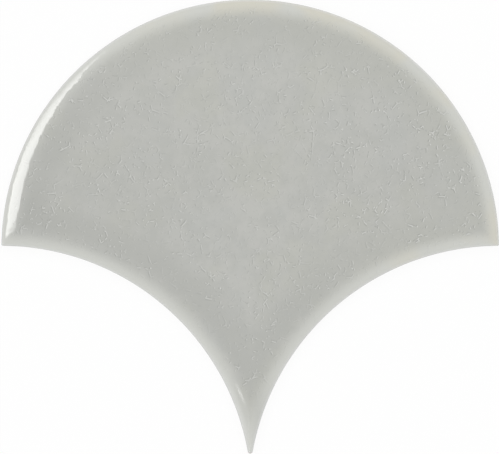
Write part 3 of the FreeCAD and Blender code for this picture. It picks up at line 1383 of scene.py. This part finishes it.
    def material(self) -> bpy.types.Material:
        """Make the glaze's material.

        Returns:
            The material.
        """
        material, bench = new_material("crackle_glaze")
        place = bench.place()
        measures = self.measures(bench, place)
        mark, shade = self.crazing.marks(bench, self.spread(bench, place), measures)
        tint = bench.mix(self.tint(bench, place, measures), self.crack_shade, shade * self.shade_share)
        tint = bench.mix(tint, self.crack, mark * self.crack_share)
        uneven = bench.cloud(place, self.uneven_size, detail=1.0) * self.uneven.amount(measures)
        rough = self.roughness + bench.cloud(place, self.rough_size) * self.rough_patches
        shader = bench.node("ShaderNodeBsdfPrincipled", {}, {
            "Base Color": tint,
            "Roughness": rough + mark * self.rough_cracks,
            "Normal": bench.relief(uneven - mark * self.crack_drop),
            "IOR": self.ior,
        })
        bench.close("ShaderNodeOutputMaterial", shader)
        return material


@dataclass(frozen=True)
class FiredBody:
    """The bare fired clay of the foot and the back.

    Attributes:
        clay: Its colour.
        pale: Colour of its paler patches.
        grog: Colour of the grains in it.
        pale_patches: The paler patches.
        grain_apart: Mean distance from grain to grain.
        grain: How strongly a grain shows, by the distance from its middle.
        grain_patches: The patches in which the grains lie at the surface.
        grain_share: How much of a grain's colour shows.
        grain_drop: How deep a grain lies.
        pitted_size: Size of the pits of its surface.
        pitted: Depth of these pits.
        roughness: Its roughness at the least.
        rough_size: Size of the patches in which it is rougher.
        rough_patches: How much rougher it is there.
        shine: How much of the usual shine it has.
    """

    clay: Colour = colour(214, 203, 184)
    pale: Colour = colour(226, 218, 203)
    grog: Colour = colour(176, 158, 134)
    pale_patches: Patches = Patches(26.0, Ramp(0.4, 0.65), 4.0)
    grain_apart: float = 1.1
    grain: Ramp = Ramp.down(0.12, 0.3)
    grain_patches: Patches = Patches(3.0, Ramp(0.52, 0.6))
    grain_share: float = 0.55
    grain_drop: float = 0.03
    pitted_size: float = 0.7
    pitted: float = 0.05
    roughness: float = 0.78
    rough_size: float = 1.6
    rough_patches: float = 0.2
    shine: float = 0.25

    def material(self) -> bpy.types.Material:
        """Make the clay's material.

        Returns:
            The material.
        """
        material, bench = new_material("fired_body")
        place = bench.place()
        grains = bench.cells(place, self.grain_apart, "F1", "Distance").along(self.grain)
        grains = grains * self.grain_patches.amount(bench, place)
        tint = bench.mix(self.clay, self.pale, self.pale_patches.amount(bench, place))
        pits = bench.cloud(place, self.pitted_size, detail=3.0) * self.pitted
        shader = bench.node("ShaderNodeBsdfPrincipled", {}, {
            "Base Color": bench.mix(tint, self.grog, grains * self.grain_share),
            "Roughness": self.roughness + bench.cloud(place, self.rough_size) * self.rough_patches,
            "Normal": bench.relief(pits - grains * self.grain_drop),
            "Specular IOR Level": self.shine,
        })
        bench.close("ShaderNodeOutputMaterial", shader)
        return material


@dataclass(frozen=True)
class FishScaleTile:
    """The tile itself: one closed skin, glazed on the face and the upper wall, bare on the foot and the back.

    Attributes:
        plan: The tile from above.
        section: Its edge in section.
        key: The key on its back.
        spacing: Distance between points along the outline.
        net: Distance between points on the face.
        swell: Wave lengths and heights of the slow unevenness of the glaze.
        ripple: Wave lengths and heights of the ripples in the glaze on the roll.
        creep: Wave lengths and heights by which the glaze's lower edge wanders.
        swell_inside: How the unevenness comes up with the depth.
        ripple_inside: How the ripples come up with it.
        ripple_outside: How they die away further in.
        ripple_above: How they come up along Y, above the tip.
        ripple_layout: A number that picks the layout of the ripples.
        creep_layout: A number that picks the layout of the lower edge.
    """

    plan: ScalePlan
    section: EdgeSection
    key: BackKey
    spacing: float = 1.0
    net: float = 1.3
    swell: Pairs = ((46.0, 0.03), (17.0, 0.02))
    ripple: Pairs = ((3.4, 0.09), (1.7, 0.03))
    creep: Pairs = ((19.0, 0.55), (5.0, 0.16))
    swell_inside: Ramp = Ramp(2.0, 8.0)
    ripple_inside: Ramp = Ramp(1.2, 3.5)
    ripple_outside: Ramp = Ramp.down(4.5, 8.0)
    ripple_above: Ramp = Ramp(-40.0, -10.0)
    ripple_layout: float = 4.5
    creep_layout: float = 7.0

    def face_heights(self, points: np.ndarray, depth: np.ndarray, second: np.ndarray) -> np.ndarray:
        """Give the heights of the glazed side, with its unevenness, which fades out on the lip.

        Args:
            points: Places in plan, one row each.
            depth: How far in each place lies.
            second: How far in it lies from the next edge.

        Returns:
            The height of each place.
        """
        level = self.section.top(self.section.mitred(depth, second))
        full = sum(size for length, size in self.swell)
        uneven = sum(size * waves(points, length, layout) for layout, (length, size) in enumerate(self.swell))
        ripples = sum(size * waves(points, length, self.ripple_layout) for length, size in self.ripple)
        roll = self.ripple_inside.of(depth) * self.ripple_outside.of(depth)
        above_tip = self.ripple_above.of(points[:, 1])
        return level - (full + uneven) / 2 * self.swell_inside.of(depth) + ripples * roll * above_tip

    def edge(self, skin: Skin, rim: Rim) -> Tuple[np.ndarray, np.ndarray]:
        """Add the roll, the lip, the wall and the foot.

        Args:
            skin: The skin to add to.
            rim: The lines across the edge.

        Returns:
            The innermost ring of points on the face, and on the back.
        """
        section = self.section
        around = len(rim.feet)
        rows = []
        face_reach = np.minimum(rim.reach, section.face_inset)
        for ring in section.top_depths():
            depth = ring * face_reach / section.face_inset
            points = rim.at(depth)
            second = np.where(rim.rounded, math.inf, self.plan.depths(points)[:, 1])
            rows.append(np.column_stack([points, self.face_heights(points, depth, second)]))
        finishes = [Finish.GLAZE] * (len(rows) - 1)

        wander = sum(size * waves(rim.feet, length, self.creep_layout) for length, size in self.creep)
        insets, heights, wall_finishes = section.wall(section.glaze_foot + wander)
        rows += [np.column_stack([rim.at(inset), height]) for inset, height in zip(insets, heights)]
        finishes += wall_finishes

        foot_reach = np.minimum(rim.reach, section.foot_inset) - section.bare_inset
        for ring in section.under_depths():
            share = (ring - section.bare_inset) / (section.foot_inset - section.bare_inset)
            depth = section.bare_inset + share * foot_reach
            rows.append(np.column_stack([rim.at(depth), section.under(depth)]))
        finishes += [Finish.BARE] * (len(rows) - 1 - len(finishes))
        skin.rings(np.array(rows).reshape(len(rows), around, 3), finishes)
        return rows[0], rows[-1]

    def face(self, skin: Skin, rim: Rim, ring: np.ndarray) -> None:
        """Add the flat face inside the roll.

        Args:
            skin: The skin to add to.
            rim: The lines across the edge.
            ring: The innermost ring of points of the roll.
        """
        loop = ring[rim.loop(self.section.face_inset)]
        columns = np.arange(-self.plan.radius, self.plan.radius, self.net)
        lowest = self.plan.centre[1] - self.plan.radius
        rows = np.arange(lowest, self.plan.crown, self.net * math.sqrt(3) / 2)
        x, y = np.meshgrid(columns, rows)
        x = x + (np.arange(len(rows)) % 2 * self.net / 2)[:, None]
        points = np.stack([x, y], axis=-1).reshape(-1, 2)
        depths = self.plan.depths(points)
        inside = depths[:, 0] > self.section.face_inset + self.net / 2
        points, depths = points[inside], depths[inside]
        heights = self.face_heights(points, depths[:, 0], depths[:, 1])
        net = np.concatenate([loop, np.column_stack([points, heights])])
        faces = triangles(net, [list(range(len(loop)))])[0]
        skin.patch(net, faces, [Finish.GLAZE] * len(faces))

    def back(self, skin: Skin, rim: Rim, ring: np.ndarray) -> None:
        """Add the back with the cells of its key.

        Args:
            skin: The skin to add to.
            rim: The lines across the edge.
            ring: The innermost ring of points of the foot.
        """
        loops = [ring[rim.loop(self.section.foot_inset)]]
        steps = self.key.steps()
        for cell, hub in self.key.cells():
            rings = [np.insert(self.key.ring(cell, hub, inset), 2, height, axis=1) for inset, height in steps]
            hub_point = np.full((self.key.spokes, 3), [hub[0], hub[1], self.key.depth])
            skin.rings(np.array([*rings, hub_point]), [Finish.BARE] * len(rings))
            loops.append(rings[0])
        net = np.concatenate(loops)
        starts = np.cumsum([0] + [len(loop) for loop in loops])
        outlines = [list(range(a, b)) for a, b in zip(starts, starts[1:])]
        # The rim runs clockwise, and an outline of the net runs the other way.
        outlines[0].reverse()
        faces = [face for face, sources in zip(*triangles(net, outlines)) if sources == [0]]
        skin.patch(net, faces, [Finish.BARE] * len(faces))

    def build(self) -> bpy.types.Object:
        """Model the tile.

        Returns:
            The tile, without its finish.
        """
        skin = Skin()
        rim = self.plan.rim(self.spacing, (self.section.foot_inset, self.section.face_inset))
        face_ring, back_ring = self.edge(skin, rim)
        self.face(skin, rim, face_ring)
        self.back(skin, rim, back_ring)
        piece = bpy.data.objects.new("glazed_tile", skin.mesh("glazed_tile"))
        bpy.context.scene.collection.objects.link(piece)
        return piece

    def dress(self, piece: bpy.types.Object) -> None:
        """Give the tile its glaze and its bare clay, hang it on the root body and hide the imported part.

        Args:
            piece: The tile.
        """
        finishes = {Finish.GLAZE: CrackleGlaze(self.plan, self.section.thickness), Finish.BARE: FiredBody()}
        for finish in Finish:
            piece.data.materials.append(finishes[finish].material())
        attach(piece, BODY)
        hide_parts(NODE)


@dataclass(frozen=True)
class Lamp:
    """A level rectangular lamp that shines down.

    Attributes:
        name: Its name.
        place: Its centre, in metres.
        size: Its width and length, in metres.
        radiance: How bright it looks.
        lights: What it lights.
        turn: How far it is turned about the upright, in degrees.
        fade: Share of its length, from the far end, over which it fades out.
        near_fade: How its glow comes up from the near end, by the share of its length.
    """

    name: str
    place: Step
    size: Tuple[float, float]
    radiance: float
    lights: Lights
    turn: float = 0.0
    fade: float = 0.0
    near_fade: Ramp = Ramp(0.0, 0.01)

    def build(self) -> bpy.types.Object:
        """Hang the lamp.

        Returns:
            The lamp.
        """
        data = bpy.data.lights.new(self.name, "AREA")
        data.shape = "RECTANGLE"
        data.size, data.size_y = self.size
        data.energy = self.radiance * math.pi * self.size[0] * self.size[1]
        if self.fade:
            self.dim(data)
        lamp = bpy.data.objects.new(self.name, data)
        lamp.location = self.place
        lamp.rotation_euler.z = math.radians(self.turn)
        lamp.visible_camera = False
        lamp.visible_diffuse = self.lights is Lights.SURFACES
        lamp.visible_glossy = self.lights is Lights.REFLECTIONS
        bpy.context.scene.collection.objects.link(lamp)
        return lamp

    def dim(self, data: bpy.types.AreaLight) -> None:
        """Fade the lamp out towards its two ends.

        Args:
            data: The lamp's light.
        """
        data.use_nodes = True
        bench = Bench(data.node_tree)
        across, lengthwise = bench.parts(bench.node("ShaderNodeNewGeometry", {}, {}, "Parametric"))[:2]
        skew = self.size[0] / self.size[1] * math.tan(math.radians(self.turn))
        level = lengthwise + (across - 0.5) * skew
        strength = lengthwise.along(Ramp.down(1 - self.fade, 1.0)) * level.along(self.near_fade)
        glow = bench.node("ShaderNodeEmission", {}, {"Strength": strength})
        bench.close("ShaderNodeOutputLight", glow)


@dataclass(frozen=True)
class Studio:
    """A white floor under soft light, and a camera that looks straight down on the tile.

    Attributes:
        view_width: Width that the picture takes in, in metres.
        view_height: Height of the level at which it is measured.
        camera_height: Height of the camera.
        sensor: Width of the camera's sensor, in millimetres.
        far_clip: How far the camera sees.
        aim: Where the camera points, along X and Y.
        floor_half: Half the width of the floor.
        floor_white: Colour of the floor.
        floor_glow: Share of the floor that looks plain white.
        sky: Strength of the light from all round.
        window_height: Height of the two lamps that the glaze reflects.
    """

    view_width: float = 0.17038
    view_height: float = 0.006
    camera_height: float = 3.0
    sensor: float = 36.0
    far_clip: float = 100.0
    aim: Tuple[float, float] = (-0.00025, -0.00012)
    floor_half: float = 3.0
    floor_white: Colour = (0.98, 0.98, 0.98, 1.0)
    floor_glow: float = 0.92
    sky: float = 0.57
    window_height: float = 0.8

    def lamps(self) -> List[Lamp]:
        """Choose the lamps.

        Returns:
            One overhead, a window at the left, and a slit beside it.
        """
        overhead = Lamp("overhead", (-0.14, 0.22, 1.6), (1.6, 1.6), 1.63, Lights.SURFACES)
        window = Lamp(
            name="left_window",
            place=(-1.115, 0.563, self.window_height),
            size=(0.86, 1.62),
            radiance=6.7,
            lights=Lights.REFLECTIONS,
            turn=13.7,
            fade=0.64,
            near_fade=Ramp(0.13, 0.18),
        )
        slit = Lamp(
            name="left_slit",
            place=(-0.634, -0.3462, self.window_height),
            size=(0.19, 0.031),
            radiance=3.3,
            lights=Lights.REFLECTIONS,
            turn=23.0,
        )
        return [overhead, window, slit]

    def floor(self) -> bpy.types.Object:
        """Lay the floor.

        Returns:
            The floor, which looks white and still takes the tile's shadow.
        """
        far = self.floor_half
        corners = [(-far, -far, 0.0), (far, -far, 0.0), (far, far, 0.0), (-far, far, 0.0)]
        mesh = bpy.data.meshes.new("floor")
        mesh.from_pydata(corners, [], [(0, 1, 2, 3)])
        material, bench = new_material("white_floor")
        matt = bench.node("ShaderNodeBsdfDiffuse", {}, {"Color": self.floor_white})
        glow = bench.node("ShaderNodeEmission", {}, {"Color": WHITE, "Strength": 1.0})
        share = bench.seen_rays() * self.floor_glow
        shader = bench.node("ShaderNodeMixShader", {}, {0: share, 1: matt, 2: glow})
        bench.close("ShaderNodeOutputMaterial", shader)
        mesh.materials.append(material)
        floor = bpy.data.objects.new("floor", mesh)
        bpy.context.scene.collection.objects.link(floor)
        return floor

    def light(self) -> None:
        """Light the tile evenly from all round, with white to look at and to reflect."""
        world = bpy.data.worlds.new("soft_white")
        world.use_nodes = True
        bench = Bench(world.node_tree)
        lit = bench.node("ShaderNodeBackground", {}, {"Color": WHITE, "Strength": self.sky})
        seen = bench.node("ShaderNodeBackground", {}, {"Color": WHITE, "Strength": 1.0})
        sky = bench.node("ShaderNodeMixShader", {}, {0: bench.seen_rays(), 1: lit, 2: seen})
        bench.close("ShaderNodeOutputWorld", sky)
        bpy.context.scene.world = world
        for lamp in self.lamps():
            lamp.build()

    def camera(self) -> bpy.types.Object:
        """Set the camera straight above the tile, with a long lens.

        Returns:
            The camera.
        """
        data = bpy.data.cameras.new("camera")
        data.sensor_width = self.sensor
        data.lens = self.sensor * (self.camera_height - self.view_height) / self.view_width
        data.clip_end = self.far_clip
        camera = bpy.data.objects.new("camera", data)
        camera.location = (*self.aim, self.camera_height)
        bpy.context.scene.collection.objects.link(camera)
        bpy.context.scene.camera = camera
        return camera


def main() -> None:
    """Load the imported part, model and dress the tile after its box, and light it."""
    logging.basicConfig(level=logging.INFO, format="%(name)s: %(message)s")
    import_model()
    low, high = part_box(NODE)
    plan = ScalePlan(crown=high.y * METRE)
    section = EdgeSection(thickness=(high.z - low.z) * METRE)
    tile = FishScaleTile(plan, section, BackKey(plan))
    piece = tile.build()
    tile.dress(piece)
    LOG.info("made %s with %d points", piece.name, len(piece.data.vertices))

    studio = Studio()
    for stand in (studio.floor(), studio.camera()):
        LOG.info("set up the %s", stand.name)
    studio.light()
    bpy.context.scene.view_settings.view_transform = "Standard"


if __name__ == "__main__":
    main()
